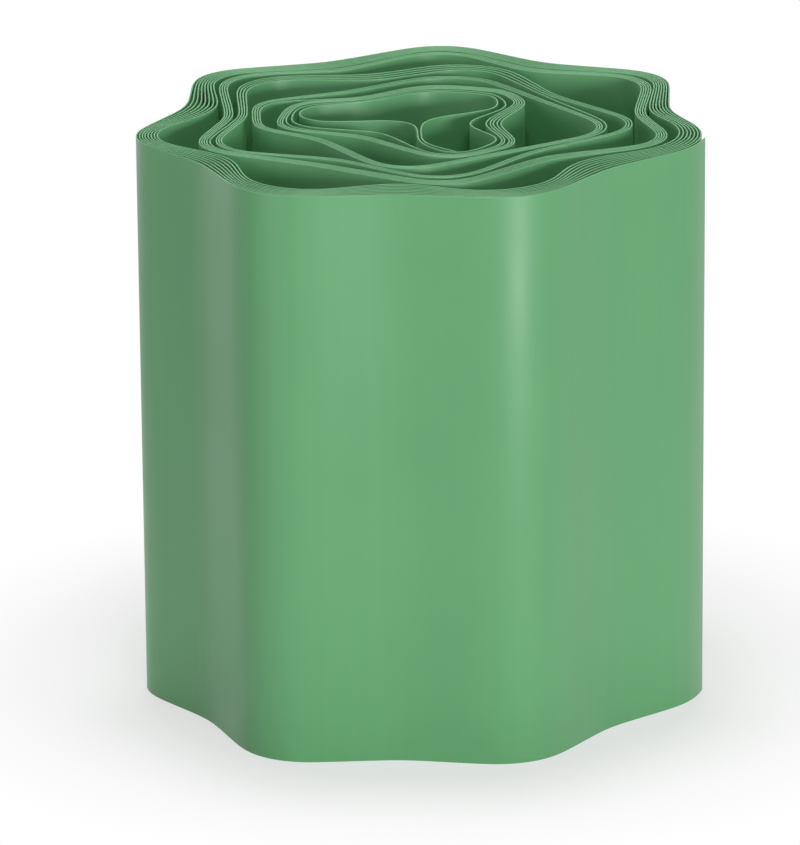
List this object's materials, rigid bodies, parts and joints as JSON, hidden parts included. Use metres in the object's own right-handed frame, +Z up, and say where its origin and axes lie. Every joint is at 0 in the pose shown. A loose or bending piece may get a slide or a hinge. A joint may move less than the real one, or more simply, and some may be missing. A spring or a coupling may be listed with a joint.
{
  "type": "plastic lawn edging",
  "caption": "Loose roll of corrugated green plastic lawn edging: a thin wavy strip that stands on its edge, with open folds between its nested turns.",
  "frame": {"origin": "middle of the roll's box, on the surface that the roll stands on", "axes": "+Z up along the waves' ridges; +Y away from the viewer, so the outer free end lies at +X"},
  "size_m": [0.1458, 0.149, 0.15],
  "materials": {
    "strip": "satin"
  },
  "bodies": {
    "root": {"edging_strip": "strip"}
  },
  "joints": []
}
